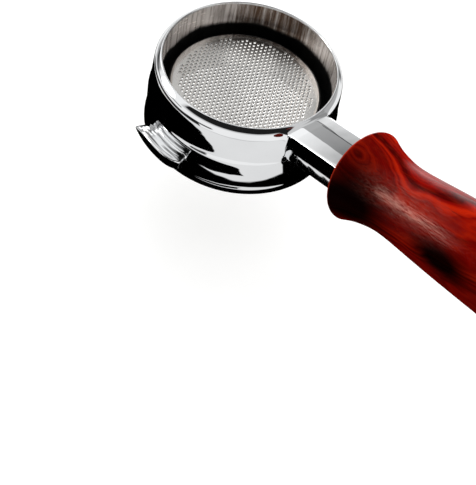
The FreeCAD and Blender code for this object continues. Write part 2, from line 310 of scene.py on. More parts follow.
def build_holder(material):
    cage = Cage()
    section = OUTER_MM + INNER_MM
    grid = [cage.add([(r * SWELL * math.cos(a), r * SWELL * math.sin(a), z) for a in around(COLUMNS)])
            for r, z in section]
    lug_starts = (LUG_COLUMNS[0], LUG_COLUMNS[0] + COLUMNS // 2)
    span = LUG_COLUMNS[1] - LUG_COLUMNS[0]
    holes = [(-NECK_COLUMNS, NECK_COLUMNS, *NECK_ROWS)]
    holes += [(first, first + span, *LUG_ROWS) for first in lug_starts]

    def open_cell(row, column):
        return any(r0 <= row < r1 and (column - c0) % COLUMNS < c1 - c0 for c0, c1, r0, r1 in holes)

    for row in range(len(section)):
        below = (row + 1) % len(section)
        for c in range(COLUMNS):
            if not open_cell(row, c):
                d = (c + 1) % COLUMNS
                cage.faces.append((grid[row][c], grid[row][d], grid[below][d], grid[below][c]))
    add_neck(cage, grid)
    for first in lug_starts:
        add_lug(cage, grid, first)
    used = sorted({i for face in cage.faces for i in face})
    renumber = {old: new for new, old in enumerate(used)}
    points = [cage.points[i] for i in used]
    faces = [tuple(renumber[i] for i in face) for face in cage.faces]
    holder = make_object("holder", points, faces, "holder", "filter_holder", material)
    mesh = holder.data
    values = {
        (renumber[a], renumber[b]): value
        for (a, b), value in cage.creases.items() if a in renumber and b in renumber
    }
    attribute = mesh.attributes.new("crease_edge", "FLOAT", "EDGE")
    creases = np.zeros(len(mesh.edges), np.float32)
    for edge in mesh.edges:
        creases[edge.index] = values.get(tuple(sorted(edge.vertices)), 0.0)
    attribute.data.foreach_set("value", creases)
    smooth = holder.modifiers.new("smooth", "SUBSURF")
    smooth.levels = smooth.render_levels = SMOOTHINGS


# ---- perforated basket ----
BASKET_R_MM = 30.0
SHEET_MM = 0.8
FLOOR_MM = -19.2
LIP_R_MM = 34.6
LIP_LOOPS_MM = (32.5, 33.0)   # a row across the lip, above and below
BEND_MM = 1.3
WALL_LOOPS_MM = (-4.0, -8.0, -10.6)
TAPER_MM = (-11.0, -17.4)
TAPER_SHARES = (0.06, 0.35, 0.65, 0.94)
FOOT_R_MM = 28.4
FOOT_ROUND_MM = 1.8
HOLE_MM = 0.38                # radius at the hole's throat, and on the far side
HOLE_FLARE_MM = 0.7
THROAT_MM = 0.3
PITCH_MM = 1.75
PATTERN_TURN = math.radians(-10.0)
FIELD_MM = 24.4
DIMPLE_MM = ((0.76, 0.0), (0.68, 0.025), (0.58, 0.09), (0.48, 0.19))   # (radius, depth)
BASKET_SEGMENTS = 192
CELL_SIDES = 12
WELD_MM = 0.002
FILL_TOLERANCE = 1e-5


def arc(centre, radius, start, end, steps):
    """Points on an arc in (radius, height), from one angle to another in degrees."""
    angles = np.radians(np.linspace(start, end, steps + 1))
    return [(centre[0] + radius * math.cos(a), centre[1] + radius * math.sin(a)) for a in angles]


def basket_skin(inset):
    """Wall outline from the lip's bend down to the flat of the floor."""
    wall = BASKET_R_MM - inset
    bend_centre = (BASKET_R_MM + BEND_MM, -BEND_MM)
    foot_centre = (FOOT_R_MM - FOOT_ROUND_MM, FOOT_ROUND_MM + FLOOR_MM)
    points = arc(bend_centre, BEND_MM + inset, 90, 180, 6)
    points += [(wall, z) for z in WALL_LOOPS_MM]
    narrowing = BASKET_R_MM - FOOT_R_MM
    drop = TAPER_MM[1] - TAPER_MM[0]
    points += [(wall - narrowing * t, TAPER_MM[0] + drop * t) for t in TAPER_SHARES]
    points += arc(foot_centre, FOOT_ROUND_MM - inset, 0, -90, 6)
    return points


def hole_centres():
    step = PITCH_MM * math.sqrt(3) / 2
    rows = int(FIELD_MM / step)
    columns = int(FIELD_MM / PITCH_MM) + 1
    for row in range(-rows, rows + 1):
        for column in range(-columns, columns + 1):
            x, y = (column + (row % 2) / 2) * PITCH_MM, row * step
            if math.hypot(x, y) <= FIELD_MM:
                yield x, y


def loop_at(x, y, z, radii):
    """Closed loop round a point, with the radii taken in turn."""
    return [(x + radii[k % len(radii)] * math.cos(a), y + radii[k % len(radii)] * math.sin(a), z)
            for k, a in enumerate(around(CELL_SIDES))]


def cell_loop(x, y, z):
    """Hexagonal border of one perforation: middles of its sides and corners."""
    return loop_at(x, y, z, (PITCH_MM / 2, PITCH_MM / math.sqrt(3)))


def fill_flat(outer, border, centres, z):
    """Triangles between the floor's outer circle and the jagged edge of the perforated field."""
    coords, edges = [], []
    for loop in (outer, border):
        start = len(coords)
        coords += [Vector(p[:2]) for p in loop]
        edges += [(start + i, start + (i + 1) % len(loop)) for i in range(len(loop))]
    found = delaunay_2d_cdt(coords, edges, [], 0, FILL_TOLERANCE)
    points = [(p.x, p.y, z) for p in found[0]]
    near = np.array(centres)
    normals = np.array([(math.cos(a), math.sin(a)) for a in around(6)[:3]])
    faces = []
    for face in found[2]:
        middle = np.mean([points[i][:2] for i in face], axis=0)
        reach = np.abs((near - middle) @ normals.T).max(axis=1)
        if reach.min() > PITCH_MM / 2:
            faces.append(tuple(face))
    return points, faces


def field_border(centres):
    """Closed outline of the union of all cells: the edges that only one cell has, as one loop."""
    open_edges = {}
    where = {}
    across = PITCH_MM / 4
    up = PITCH_MM * math.sqrt(3) / 12
    for x, y in centres:
        loop = cell_loop(x, y, 0.0)
        keys = [(round(p[0] / across), round(p[1] / up)) for p in loop]
        for k, key in enumerate(keys):
            where[key] = loop[k]
            pair = (key, keys[(k + 1) % CELL_SIDES])
            if pair[::-1] in open_edges:
                del open_edges[pair[::-1]]
            else:
                open_edges[pair] = True
    follow = dict(open_edges.keys())
    start = next(iter(follow))
    loop, key = [], start
    while True:
        loop.append(where[key])
        key = follow[key]
        if key == start:
            return loop


def build_basket(material):
    centres = list(hole_centres())
    points, faces = [], []

    def add(new_points, new_faces):
        start = len(points)
        points.extend(new_points)
        faces.extend(tuple(start + i for i in face) for face in new_faces)

    half = SHEET_MM / 2
    lip = arc((LIP_R_MM - half, half), half, 90, -90, 8)
    inner = [(LIP_LOOPS_MM[0], SHEET_MM)] + basket_skin(SHEET_MM)
    outer = [(LIP_LOOPS_MM[1], 0.0)] + basket_skin(0.0)
    profile = inner[::-1] + lip + outer
    angles = around(BASKET_SEGMENTS)
    rings = [[(r * math.cos(a), r * math.sin(a), z) for a in angles] for r, z in profile]
    flat_rings = [p for ring in rings for p in ring]
    wall = []
    for a in range(0, (len(rings) - 1) * BASKET_SEGMENTS, BASKET_SEGMENTS):
        b = a + BASKET_SEGMENTS
        for k in range(BASKET_SEGMENTS):
            m = (k + 1) % BASKET_SEGMENTS
            wall.append((a + k, a + m, b + m, b + k))
    add(flat_rings, wall)
    border = field_border(centres)
    top = FLOOR_MM + SHEET_MM
    for ring, z in ((rings[0], top), (rings[-1], FLOOR_MM)):
        add(*fill_flat(ring, border, centres, z))
    for x, y in centres:
        stack = [cell_loop(x, y, FLOOR_MM)]
        stack += [loop_at(x, y, FLOOR_MM + depth, (r,)) for r, depth in DIMPLE_MM]
        stack += [loop_at(x, y, FLOOR_MM + THROAT_MM, (HOLE_MM,)), loop_at(x, y, top, (HOLE_FLARE_MM,))]
        stack += [cell_loop(x, y, top)]
        cell_faces = []
        for i in range(len(stack) - 1):
            for k in range(CELL_SIDES):
                m = (k + 1) % CELL_SIDES
                a, b = i * CELL_SIDES, (i + 1) * CELL_SIDES
                cell_faces.append((a + k, a + m, b + m, b + k))
        add([p for loop in stack for p in loop], cell_faces)
    c, s = math.cos(PATTERN_TURN), math.sin(PATTERN_TURN)
    points = [(x * c - y * s, x * s + y * c, z) for x, y, z in points]
    basket = make_object("basket", points, faces, "basket", "filter_basket", material)
    weld = bmesh.new()
    weld.from_mesh(basket.data)
    bmesh.ops.remove_doubles(weld, verts=weld.verts, dist=WELD_MM * MM)
    bmesh.ops.recalc_face_normals(weld, faces=weld.faces)
    weld.to_mesh(basket.data)
    weld.free()
    sharpen(basket, 50)


# ---- turned parts on the handle's axis ----
def handle_ring(station, radius, segments):
    """Circle of points round the handle's axis."""
    return [handle_point(station, radius * math.cos(a), radius * math.sin(a)) for a in around(segments)]


def lathe(name, outline_mm, segments, body, node, material):
    """Turned solid from (station, radius) points that start and end on the axis."""
    points, loops = [], []
    for station, radius in outline_mm:
        loop = handle_ring(station, radius, segments if radius else 1)
        loops.append(range(len(points), len(points) + len(loop)))
        points += loop
    faces = []
    for a, b in zip(loops[:-1], loops[1:]):
        for k in range(segments):
            m = (k + 1) % segments
            if len(a) == 1:
                faces.append((a[0], b[k], b[m]))
            elif len(b) == 1:
                faces.append((a[k], a[m], b[0]))
            else:
                faces.append((a[k], a[m], b[m], b[k]))
    return make_object(name, points, faces, body, node, material)


# the grip's outline in (station, radius)
GRIP_FACE_R_MM = 15.1
GRIP_CREST_MM = (1.3, 16.5)
GRIP_BODY_MM = (
    (6.3, 14.6), (10.3, 13.6), (15.3, 12.8), (21.3, 12.7), (29.3, 13.2),
    (39.3, 13.9), (60.0, 15.0), (82.0, 15.7), (100.0, 15.1),
)
BUTT_MM = (109.0, 14.3)
CAP_SPHERE_MM = 22.0
CAP_R_MM = 9.0
BUTT_BULGE_MM = (1.2, 1.4)
GRIP_LENGTH_MM = 122.0
GRIP_SEGMENTS = 128
FACE_LOOPS_MM = (10.0, 13.0)
FACE_ROUND_MM = (0.35, 1.0)   # point on the rounding from the face to the crest
FLANGE_BEVEL_MM = 0.15
INSERT_R_MM = 7.0
INSERT_LENGTH_MM = 24.0
FLANGE_MM = (2.0, 8.2)
RELIEF_MM = (32.0, 4.6)


def spline(points, steps):
    """Natural cubic through points, sampled evenly along the line that joins them."""
    p = np.array(points, float)
    t = np.r_[0, np.cumsum(np.hypot(*np.diff(p, axis=0).T))]
    n = len(p)
    matrix = np.zeros((n, n))
    right = np.zeros((n, 2))
    matrix[0, 0] = matrix[-1, -1] = 1
    h = np.diff(t)
    for i in range(1, n - 1):
        matrix[i, i - 1:i + 2] = h[i - 1], 2 * (h[i - 1] + h[i]), h[i]
        right[i] = 6 * ((p[i + 1] - p[i]) / h[i] - (p[i] - p[i - 1]) / h[i - 1])
    second = np.linalg.solve(matrix, right)
    samples = []
    for s in np.linspace(0, t[-1], steps + 1):
        i = min(np.searchsorted(t, s, "right") - 1, n - 2)
        a, b = (t[i + 1] - s) / h[i], (s - t[i]) / h[i]
        bend = (a ** 3 - a) * second[i] + (b ** 3 - b) * second[i + 1]
        samples.append(tuple(a * p[i] + b * p[i + 1] + bend * h[i] ** 2 / 6))
    return samples


def three_point_arc(a, b, c, steps):
    """Arc through three (station, radius) points."""
    a, b, c = (np.array(x, float) for x in (a, b, c))
    matrix = 2 * np.array([b - a, c - a])
    centre = np.linalg.solve(matrix, [b @ b - a @ a, c @ c - a @ a])
    start, end = (math.atan2(*(x - centre)[::-1]) for x in (a, c))
    if end > start:
        end -= 2 * math.pi
    radius = np.hypot(*(a - centre))
    return [
        (centre[0] + radius * math.cos(t), centre[1] + radius * math.sin(t))
        for t in np.linspace(start, end, steps + 1)
    ]


def grip_outline():
    cap_centre = GRIP_LENGTH_MM - CAP_SPHERE_MM
    cap_angle = math.asin(CAP_R_MM / CAP_SPHERE_MM)
    cap_start = (cap_centre + CAP_SPHERE_MM * math.cos(cap_angle), CAP_R_MM)
    middle = [(b + c) / 2 + bulge for b, c, bulge in zip(BUTT_MM, cap_start, BUTT_BULGE_MM)]
    shoulder = (FACE_ROUND_MM[0], GRIP_FACE_R_MM + FACE_ROUND_MM[1])
    points = [(RELIEF_MM[0], 0.0), RELIEF_MM, (INSERT_LENGTH_MM, RELIEF_MM[1])]
    points += [(INSERT_LENGTH_MM, INSERT_R_MM), (FLANGE_MM[0], INSERT_R_MM), FLANGE_MM]
    points += [(FLANGE_BEVEL_MM, FLANGE_MM[1]), (0.0, FLANGE_MM[1] + FLANGE_BEVEL_MM)]
    points += [(0.0, radius) for radius in FACE_LOOPS_MM]
    points += three_point_arc((0.0, GRIP_FACE_R_MM), shoulder, GRIP_CREST_MM, 6)
    points += spline((GRIP_CREST_MM,) + GRIP_BODY_MM + (BUTT_MM,), 90)[1:]
    points += three_point_arc(BUTT_MM, middle, cap_start, 10)[1:]
    points += [
        (cap_centre + CAP_SPHERE_MM * math.cos(t), CAP_SPHERE_MM * math.sin(t))
        for t in np.linspace(cap_angle, 0, 9)[1:-1]
    ]
    return points + [(GRIP_LENGTH_MM, 0.0)]


def build_grip(material):
    grip = lathe("grip", grip_outline(), GRIP_SEGMENTS, "grip", "handle_grip", material)
    sharpen(grip, 40)


# ---- stud with its thread ----
STUD_MM = (-16.0, 20.0)
THREAD_MAJOR_MM = 3.98
THREAD_MINOR_MM = 3.3
THREAD_PITCH_MM = 1.25
THREAD_ROWS_PER_TURN = 12
THREAD_SEGMENTS = 36
THREAD_FLANK = 2.6            # slope of the flanks, and how flat the root is
THREAD_ROOT = 0.8
TIP_STEP_MM = 0.1


def build_stud(material):
    """Helical thread as a round bar whose radius follows the angle as well as the station."""
    length = STUD_MM[1] - STUD_MM[0]
    rows = int(length / THREAD_PITCH_MM * THREAD_ROWS_PER_TURN)
    points = [handle_point(STUD_MM[0], 0.0, 0.0)]
    for row in range(rows + 1):
        station = STUD_MM[0] + length * row / rows
        chamfer = min(station - STUD_MM[0], STUD_MM[1] - station)
        for k in range(THREAD_SEGMENTS):
            turn = k / THREAD_SEGMENTS
            phase = ((station - STUD_MM[0]) / THREAD_PITCH_MM - turn) % 1.0
            ridge = min(1.0, max(0.0, THREAD_FLANK * abs(2 * phase - 1) - THREAD_ROOT))
            radius = THREAD_MINOR_MM + (THREAD_MAJOR_MM - THREAD_MINOR_MM) * ridge
            radius = min(radius, THREAD_MINOR_MM - TIP_STEP_MM + chamfer)
            angle = 2 * math.pi * turn
            points.append(handle_point(station, radius * math.cos(angle), radius * math.sin(angle)))
    points.append(handle_point(STUD_MM[1], 0.0, 0.0))
    n = THREAD_SEGMENTS
    faces = []
    for k in range(n):
        m = (k + 1) % n
        faces.append((0, 1 + k, 1 + m))
        last = 1 + rows * n
        faces.append((last + m, last + k, len(points) - 1))
        for row in range(rows):
            a, b = 1 + row * n, 1 + (row + 1) * n
            faces.append((a + k, b + k, b + m, a + m))
    stud = make_object("stud", points, faces, "stud", "handle_stud", material)
    sharpen(stud, 35)


# ---- materials ----
BLACK = (0.0, 0.0, 0.0)
WHITE = (1.0, 1.0, 1.0, 1.0)
NUMBER_RESULTS = ("DOT_PRODUCT", "LENGTH", "DISTANCE")


class Shading:
    """Short way to write the nodes of a material or of the world."""

    def __init__(self, data):
        self.data = data
        self.data.use_nodes = True
        self.nodes = self.data.node_tree.nodes
        self.links = self.data.node_tree.links

    def node(self, kind, inputs=None, **settings):
        made = self.nodes.new(kind)
        for key, value in settings.items():
            setattr(made, key, value)
        for key, value in (inputs or {}).items():
            self.put(made.inputs[key], value)
        return made

    def put(self, socket, value):
        if isinstance(value, bpy.types.NodeSocket):
            self.links.new(value, socket)
        else:
            socket.default_value = value

    def noise(self, vector, detail, roughness=0.55, scale=1.0):
        inputs = {"Vector": vector, "Scale": scale, "Detail": detail, "Roughness": roughness}
        return self.node("ShaderNodeTexNoise", inputs).outputs["Fac"]

    def remap(self, value, low, high, to_low=0.0, to_high=1.0, **settings):
        inputs = {"Value": value, "From Min": low, "From Max": high, "To Min": to_low, "To Max": to_high}
        return self.node("ShaderNodeMapRange", inputs, **settings).outputs["Result"]

    def step(self, value, edge, softness):
        """0 below the edge and 1 above it, or the other way round when the softness is negative."""
        reach = abs(softness)
        ends = (0.0, 1.0) if softness > 0 else (1.0, 0.0)
        return self.remap(value, edge - reach, edge + reach, *ends, interpolation_type="SMOOTHSTEP")

    def ramp(self, value, stops):
        made = self.node("ShaderNodeValToRGB", {"Fac": value})
        elements = made.color_ramp.elements
        while len(elements) < len(stops):
            elements.new(0.5)
        for element, (place, colour) in zip(elements, stops):
            element.position = place
            element.color = (*colour, 1.0)
        return made.outputs["Color"]

    def mix(self, share, a, b):
        made = self.node("ShaderNodeMix", data_type="RGBA")
        self.put(made.inputs[0], share)
        for socket, colour in ((made.inputs[6], a), (made.inputs[7], b)):
            self.put(socket, colour if isinstance(colour, bpy.types.NodeSocket) else (*colour, 1.0))
        return made.outputs[2]

    def choose(self, share, a, b):
        """The number a where the share is 0 and b where it is 1."""
        return self.node("ShaderNodeMix", {0: share, 2: a, 3: b}, data_type="FLOAT").outputs[0]

    def maths(self, operation, a, b=0.0):
        return self.node("ShaderNodeMath", {0: a, 1: b}, operation=operation).outputs[0]

    def product(self, first, *others):
        """Product of numbers, so also the overlap of masks."""
        for other in others:
            first = self.maths("MULTIPLY", first, other)
        return first

    def total(self, first, *others):
        for other in others:
            first = self.maths("ADD", first, other)
        return first

    def vector_maths(self, operation, a, b=None):
        inputs = {0: a} if b is None else {0: a, 1: b}
        made = self.node("ShaderNodeVectorMath", inputs, operation=operation)
        return made.outputs["Value" if operation in NUMBER_RESULTS else "Vector"]

    def dot(self, vector, direction):
        return self.vector_maths("DOT_PRODUCT", vector, tuple(direction))

    def split(self, vector):
        return self.node("ShaderNodeSeparateXYZ", {"Vector": vector}).outputs

    def join(self, **coordinates):
        return self.node("ShaderNodeCombineXYZ", coordinates).outputs["Vector"]

    def flatten(self, vector):
        return self.vector_maths("MULTIPLY", vector, (1.0, 1.0, 0.0))

    def geometry(self, output):
        return self.node("ShaderNodeNewGeometry").outputs[output]


class Material(Shading):
    def __init__(self, name):
        super().__init__(bpy.data.materials.new(name))
        self.surface = self.nodes["Principled BSDF"]
        self.position = self.nodes.new("ShaderNodeTexCoord").outputs["Object"]

    def set(self, **inputs):
        for key, value in inputs.items():
            self.put(self.surface.inputs[key.replace("_", " ")], value)

    def replace_surface(self, shader):
        self.links.new(shader.outputs[0], self.nodes["Material Output"].inputs["Surface"])

    def stretched(self, scale, vector=None, location=(0.0, 0.0, 0.0)):
        inputs = {"Vector": vector or self.position, "Scale": scale, "Location": location}
        return self.node("ShaderNodeMapping", inputs).outputs["Vector"]

    def grain(self, scale, detail, roughness=0.55, vector=None):
        """Noise with its own scale along each axis, in cells a metre."""
        return self.noise(self.stretched(scale, vector), detail, roughness)

    def ring_radius(self):
        return self.vector_maths("LENGTH", self.flatten(self.position))

    def wander(self, value, cloud, width):
        """Shifts a value up and down by half the width, following a cloud."""
        return self.total(value, self.product(self.maths("SUBTRACT", cloud, 0.5), width))

    def bump(self, height, strength, distance, normal=None):
        inputs = {"Height": height, "Strength": strength, "Distance": distance}
        if normal is not None:
            inputs["Normal"] = normal
        return self.node("ShaderNodeBump", inputs).outputs["Normal"]


PLATE = ((0.93, 0.94, 0.95), (0.88, 0.89, 0.90))
# painted reflection: colour of the dark streaks on the lugs
LUG_PAINTED_STREAK = (0.07, 0.07, 0.07)
# Inside the bore: a coffee film whose pale and brown bands are also a painted reflection, and a black band of
# painted shadow.
BORE_PAINTED_REFLECTION_AND_FILM = ((1.0, 0.93, 0.88), (0.16, 0.095, 0.06))
BORE_PAINTED_SHADOW = (0.012, 0.012, 0.012)
BORE_PAINTED_SHADOW_MM = -25.2      # height of the shadow's edge, before a cloud shifts it by up to the pull
BORE_PAINTED_SHADOW_PULL_MM = -7.0
BORE_BROWNER_SIDE = (-0.508, -0.861, 0.0)
BORE_BROWNER_MM = (25.0, 29.2)     # the bore turns from pale to brown between these distances towards that side
BORE_MASK_MM = (31.5, -30.3)  # inside this radius and above this height
LUG_MASK_MM = (35.8, 40.7, -12.0)     # between these radii and above this height
# painted reflection on the neck's lower facet: where it starts, the span of its grey, and the width of its
# dark line
NECK_FROM_MM = 36.8
NECK_PAINTED_GREY_MM = (36.0, 61.0)
NECK_PAINTED_LINE_MM = 0.15


def neck_painted_reflection(m, along_x, across_y, smear):
    """Painted reflection on the neck's lower facet: grey that deepens towards the grip, and a dark line along
    one edge.
    """
    under = m.dot(m.geometry("Normal"), -UPWARD)
    neck = m.step(along_x, NECK_FROM_MM * MM, 0.6 * MM)
    painted_grey = m.remap(along_x, NECK_PAINTED_GREY_MM[0] * MM, NECK_PAINTED_GREY_MM[1] * MM, 0.06, 0.58)
    painted_grey = m.product(painted_grey, m.remap(smear, 0.3, 0.7, 0.8, 1.2), neck, m.step(under, 0.992, 0.004))
    edge = m.maths("ABSOLUTE", m.total(across_y, NECK_Y_MM[1] * MM))
    edge = m.product(m.step(edge, NECK_PAINTED_LINE_MM * MM, -0.05 * MM), neck, m.step(under, 0.9, 0.03))
    return m.maths("MAXIMUM", painted_grey, m.product(edge, 0.9))


def bore_film_and_painted_reflection(m, height):
    """Colour inside the bore, and its share of brown from 0 to 1: pale and brown bands of coffee film that
    are also a painted reflection, over a black band of painted shadow.
    """
    cloud = m.grain((38, 38, 20), 3.0)
    brown_share = m.remap(m.grain((650, 650, 30), 4.0, 0.7), 0.32, 0.68)
    side = m.wander(m.dot(m.position, BORE_BROWNER_SIDE), cloud, 12.0 * MM)
    side = m.remap(side, BORE_BROWNER_MM[0] * MM, BORE_BROWNER_MM[1] * MM, -0.42, 0.32)
    brown_share = m.total(brown_share, side)
    # painted shadow: black below a wavy line in the bore
    shadow = m.total(height, m.product(cloud, BORE_PAINTED_SHADOW_PULL_MM * MM))
    shadow = m.step(shadow, BORE_PAINTED_SHADOW_MM * MM, 1.2 * MM)
    return m.mix(shadow, m.mix(brown_share, *BORE_PAINTED_REFLECTION_AND_FILM), BORE_PAINTED_SHADOW), brown_share


def chrome_plate():
    m = Material("chrome_plate")
    place = m.split(m.position)
    radius = m.ring_radius()
    smear = m.grain((60, 60, 60), 3.0)
    hairline = m.grain((300, 300, 2600), 2.0)
    bore = m.product(
        m.step(radius, BORE_MASK_MM[0] * MM, -0.1 * MM), m.step(place["Z"], BORE_MASK_MM[1] * MM, 0.1 * MM))
    lug = m.product(
        m.step(radius, LUG_MASK_MM[0] * MM, 0.2 * MM), m.step(radius, LUG_MASK_MM[1] * MM, -0.1 * MM),
        m.step(place["Z"], LUG_MASK_MM[2] * MM, 0.3 * MM))
    turn = m.maths("ARCTAN2", place["Y"], place["X"])
    # noise that brushes the lugs' bump and places their painted dark streaks
    brushed_and_painted_streak = m.noise(
        m.join(X=m.product(radius, 900.0), Y=m.product(place["Z"], 500.0), Z=m.product(turn, 2.5)), 2.0)
    plated = m.mix(m.remap(smear, 0.3, 0.7), *PLATE)
    # painted reflection: dark streaks on the lugs
    plated = m.mix(m.product(lug, m.remap(brushed_and_painted_streak, 0.47, 0.60, 0.0, 0.88)), plated, LUG_PAINTED_STREAK)
    # painted reflection: grey and a dark line on the neck's lower facet
    plated = m.mix(neck_painted_reflection(m, place["X"], place["Y"], smear), plated, BLACK)
    bore_colour, brown_share = bore_film_and_painted_reflection(m, place["Z"])
    # painted reflection: less metallic where the bore's bands are pale, so their pale colour shows
    milky_painted_sheen = m.product(bore, m.remap(brown_share, 0.0, 0.7, 0.45, 0.12))
    polish = m.total(m.remap(smear, 0.45, 0.75, 0.02, 0.055), m.remap(hairline, 0.6, 0.8, 0.0, 0.03))
    m.set(Base_Color=m.mix(bore, plated, bore_colour), Metallic=m.maths("SUBTRACT", 1.0, milky_painted_sheen))
    m.set(Roughness=m.total(polish, m.product(bore, 0.22)))
    brushed = m.bump(m.product(brushed_and_painted_streak, lug), 0.5, 0.2 * MM)
    m.set(Normal=m.bump(m.grain((75, 75, 105), 2.0), 0.30, 0.4 * MM, brushed))
    return m.data


SATIN_STEEL = ((0.80, 0.79, 0.77), (0.70, 0.69, 0.67))
# painted dark reflection on the far side of the basket floor's underside, where it mirrors the dark bore
BASKET_PAINTED_DARK = (0.10, 0.085, 0.075)
DARK_REFLECTION_SIDE = (-0.62, -0.785, 0.0)
DARK_REFLECTION_FROM_MM = 18.0
DARK_REFLECTION_R_MM = 25.0
BORDER_R_MM = 25.2


def basket_steel():
    m = Material("basket_steel")
    height = m.split(m.position)["Z"]
    radius = m.ring_radius()
    rolled = m.grain((90, 1400, 400), 3.0)
    cloud = m.grain((70, 70, 70), 4.0)

    def below(depth_mm, softness_mm):
        """1 below a height over the floor's underside."""
        return m.step(height, (FLOOR_MM + depth_mm) * MM, -softness_mm * MM)

    # painted dark reflection: darker towards one side of the floor's underside
    dark_reflection = m.wander(m.dot(m.position, DARK_REFLECTION_SIDE), cloud, 10.0 * MM)
    dark_reflection = m.product(m.step(dark_reflection, DARK_REFLECTION_FROM_MM * MM, 6.0 * MM), m.step(radius, DARK_REFLECTION_R_MM * MM, -0.4 * MM))
    dark_reflection = m.product(dark_reflection, below(0.12, 0.05), 0.9)
    m.set(Base_Color=m.mix(dark_reflection, m.mix(m.remap(cloud, 0.3, 0.7), *SATIN_STEEL), BASKET_PAINTED_DARK), Metallic=1.0)
    satin = m.total(m.remap(rolled, 0.3, 0.8, 0.26, 0.36), m.remap(cloud, 0.4, 0.8, 0.0, 0.06))
    dimple = m.product(m.step(height, (FLOOR_MM + 0.015) * MM, 0.01 * MM), below(0.5, 0.1))
    border = m.step(radius, BORDER_R_MM * MM, 0.6 * MM)
    smooth = m.maths("MAXIMUM", dimple, m.product(border, 0.6))
    m.set(Roughness=m.mix(smooth, satin, (0.12, 0.12, 0.12)))
    m.set(Normal=m.bump(rolled, 0.04, 0.04 * MM))
    return m.data


# (station, side, height) of the centre and the radii of marks on the grip: a knot, a glossier patch,
# near-black patches and painted shade on the flare
KNOT = ((2.5, 2.0, -15.5), (13.0, 10.0, 9.0))
POLISHED = ((29.0, 9.5, -9.2), (17.0, 5.4, 5.8))
# near-black patches; the first, on the flare's lower side, is painted shade
DARK_PATCHES = (((8.0, 15.0, 0.0), (16.5, 10.5, 12.5)), ((49.0, 14.0, -3.0), (12.0, 5.0, 4.6)))
SHADED_FLARE = ((5.0, 8.0, -12.0), (11.0, 13.0, 12.0))
UPPER_SIDE = (-0.683, -0.412, -0.603)
GROWTH_RINGS = (
    (0.28, (0.010, 0.0001, 0.0001)), (0.40, (0.065, 0.0004, 0.0002)), (0.50, (0.18, 0.0014, 0.0004)),
    (0.62, (0.37, 0.0110, 0.0012)), (0.78, (0.13, 0.0008, 0.0002)),
)
RING_DENSITY = 170.0          # growth rings a metre, how far they wander, lean and bend round the knot
RING_DRIFT = 6.0
RING_LEAN = 7.0
RING_KNOT = 3.2
PITH = (0.02, 0.021, 0.034)
FLECK = (0.36, 0.018, 0.003)
PORE = (0.012, 0.002, 0.002)
FLARE_SHADE = (0.012, 0.0004, 0.0003)
NEAR_BLACK_PATCH = (0.001, 0.0001, 0.0001)
# painted highlight: brighter red along the grip's front edge
FACE_EDGE_HIGHLIGHT = (0.45, 0.030, 0.012)
FACE_EDGE_HIGHLIGHT_MM = 1.0
MIRRORED_WOOD = (0.03, 0.001, 0.001)
POLISH_TINT = (1.0, 0.60, 0.46, 1.0)


def rosewood():
    m = Material("rosewood")
    placing = {"Vector": m.position, "Location": tuple(GRIP_FACE_MM * MM), "Rotation": (0, DROOP, 0)}
    along = m.node("ShaderNodeMapping", placing, vector_type="TEXTURE").outputs["Vector"]

    def patch(centre_mm, radii_mm, fade):
        """1 inside an ellipsoid placed by station, side and height on the grip, 0 outside it."""
        centre = tuple(c / r for c, r in zip(centre_mm, radii_mm))
        scaled = m.vector_maths("MULTIPLY", along, tuple(1 / (r * MM) for r in radii_mm))
        return m.step(m.vector_maths("DISTANCE", scaled, centre), 1.0, -fade)

    def growth():
        board = m.split(m.stretched((5, 1, 1), along, location=PITH))
        squares = [m.maths("POWER", board[axis], 2.0) for axis in ("Y", "Z")]
        rings = m.product(m.maths("SQRT", m.total(*squares)), RING_DENSITY)
        rings = m.total(rings, m.product(m.grain((16, 55, 55), 3.0, 0.5, along), RING_DRIFT))
        rings = m.total(rings, m.product(board["X"], RING_LEAN), m.product(patch(*KNOT, 0.95), RING_KNOT))
        return m.ramp(m.noise(m.join(X=rings), 4.0, 0.55, scale=1.1), GROWTH_RINGS)

    pore = m.remap(m.grain((60, 1900, 1900), 3.0, 0.6, along), 0.60, 0.74)
    fleck = m.remap(m.grain((140, 800, 800), 2.0, vector=along), 0.45, 0.75, 0.0, 0.25)
    wear = m.grain((110, 900, 900), 5.0, 0.7, along)
    hairline = m.grain((260, 4200, 4200), 2.0, 0.6, along)
    colour = m.mix(fleck, growth(), FLECK)
    colour = m.mix(m.product(pore, 0.45), colour, PORE)
    colour = m.mix(m.product(patch(*SHADED_FLARE, 0.9), 0.55), colour, FLARE_SHADE)
    # near-black patches; the first is painted shade on the flare's lower side
    for mark in DARK_PATCHES:
        colour = m.mix(m.product(patch(*mark, 0.6), 0.98), colour, NEAR_BLACK_PATCH)
    # painted highlight along the grip's front edge
    rim = m.step(m.split(along)["X"], FACE_EDGE_HIGHLIGHT_MM * MM, -0.4 * MM)
    colour = m.mix(m.product(rim, 0.75), colour, FACE_EDGE_HIGHLIGHT)
    mirrored = m.node("ShaderNodeLightPath").outputs["Is Glossy Ray"]
    colour = m.mix(m.product(mirrored, 0.8), colour, MIRRORED_WOOD)
    polished = m.product(patch(*POLISHED, 0.75), m.remap(hairline, 0.38, 0.64), 0.62)
    m.set(Base_Color=colour, Roughness=0.27, Specular_IOR_Level=polished, Specular_Tint=POLISH_TINT)
    upper = m.step(m.dot(m.geometry("Normal"), UPPER_SIDE), 0.86, 0.10)
    upper = m.product(upper, m.remap(wear, 0.35, 0.65, 0.5, 1.0))
    m.set(Coat_Weight=m.total(0.01, upper), Coat_Roughness=0.2, Coat_IOR=1.5)
    m.set(Normal=m.bump(pore, 0.25, -0.12 * MM, m.bump(wear, 0.16, 0.15 * MM)))
    return m.data


